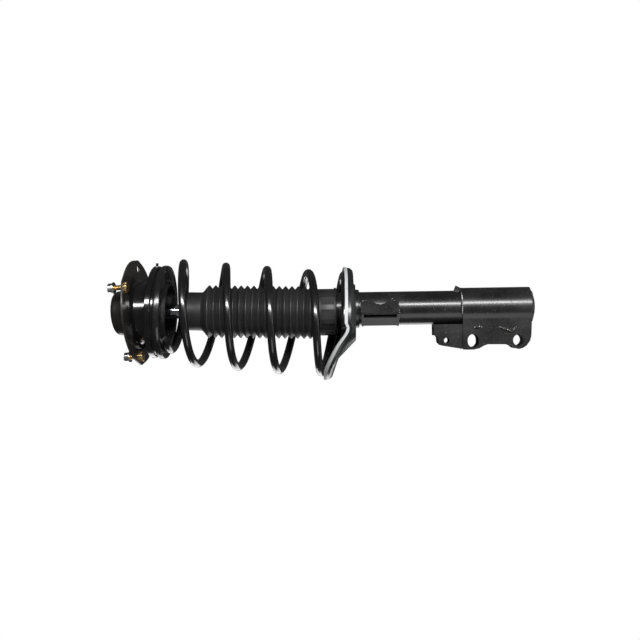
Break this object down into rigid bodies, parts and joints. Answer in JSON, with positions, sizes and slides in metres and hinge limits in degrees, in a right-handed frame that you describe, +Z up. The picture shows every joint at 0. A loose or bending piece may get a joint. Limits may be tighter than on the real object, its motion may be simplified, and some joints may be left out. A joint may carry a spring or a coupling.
{
  "type": "suspension strut",
  "caption": "Upright front suspension strut: damper in a clamp bracket with bolt holes, coil spring, bellows boot and a rubber top mount with steering bearing and studs.",
  "frame": {"origin": "centre of the circle of three studs, on the mount plate's upper face", "axes": "+Z up along the damper rod, 9 degrees off the studs; -X outboard, where the knuckle bracket's ears point"},
  "size_m": [0.1878, 0.172, 0.644],
  "materials": {
    "black_plate": "satin black paint",
    "gloss_black": "gloss black paint",
    "spring_black": "gloss black powder coat",
    "satin_black": "satin black paint",
    "green_black": "satin green-black paint",
    "bare_steel": "ground steel",
    "spring_steel": "blued spring steel",
    "zinc": "bright zinc plate",
    "yellow_zinc": "yellow passivated zinc plate",
    "chrome": "hard chrome, polished",
    "sintered_iron": "sintered iron",
    "bronze": "bronze-backed sliding lining",
    "rubber": "matt black rubber",
    "grey_rubber": "light grey rubber",
    "foam": "closed-cell polyurethane foam",
    "boot_plastic": "matt black moulded plastic",
    "black_plastic": "matt black plastic"
  },
  "bodies": {
    "top_mount": {"mount_plate": "black_plate", "mount_dome": "black_plate", "mount_drum": "gloss_black", "mount_sleeve": "bare_steel", "mount_rubber": "rubber", "mount_studs": "yellow_zinc", "stud_nuts": "zinc", "rod_washer": "zinc", "rod_nut": "zinc", "dust_cap": "black_plastic", "bearing_upper_race": "black_plastic", "piston_rod": "chrome", "rebound_stop": "bare_steel", "piston": "sintered_iron", "piston_band": "bronze", "valve_discs": "spring_steel", "piston_nut": "zinc", "bump_stop": "foam"},
    "ball_cage": {"bearing_balls": "bare_steel", "bearing_cage": "black_plastic"},
    "upper_seat": {"bearing_lower_race": "bare_steel", "bearing_seal": "rubber", "upper_spring_seat": "gloss_black", "upper_insulator": "rubber", "coil_spring": "spring_black", "dust_boot": "boot_plastic"},
    "strut_body": {"strut_tube": "satin_black", "base_cup": "satin_black", "tube_cap": "black_plastic", "pressure_tube": "bare_steel", "rod_guide": "sintered_iron", "guide_bush": "bronze", "oil_seal": "rubber", "base_valve": "sintered_iron", "seat_support_collar": "satin_black", "lower_spring_seat": "green_black", "lower_insulator": "grey_rubber", "boot_collar": "boot_plastic", "knuckle_bracket": "satin_black", "bracket_channel": "satin_black", "weld_beads": "satin_black", "brake_hose_bracket": "satin_black"}
  },
  "joints": [
    {"name": "bearing_roll", "type": "hinge", "parent": "top_mount", "child": "ball_cage", "pos_m": [0, 0, -0.028], "axis": [0, 0, 1], "range_deg": [-20, 20]},
    {"name": "steer_swivel", "type": "hinge", "parent": "top_mount", "child": "upper_seat", "pos_m": [0, 0, -0.028], "axis": [0, 0, 1], "range_deg": [-40, 40]},
    {"name": "damper_stroke", "type": "slide", "parent": "upper_seat", "child": "strut_body", "axis": [0, 0, 1], "range_m": [0, 0.128], "stiffness_N_per_m": 26000, "deforming": ["coil_spring", "dust_boot"]}
  ],
  "couplings": [
    {"joint": "bearing_roll", "follows": "steer_swivel", "ratio": 0.5}
  ]
}
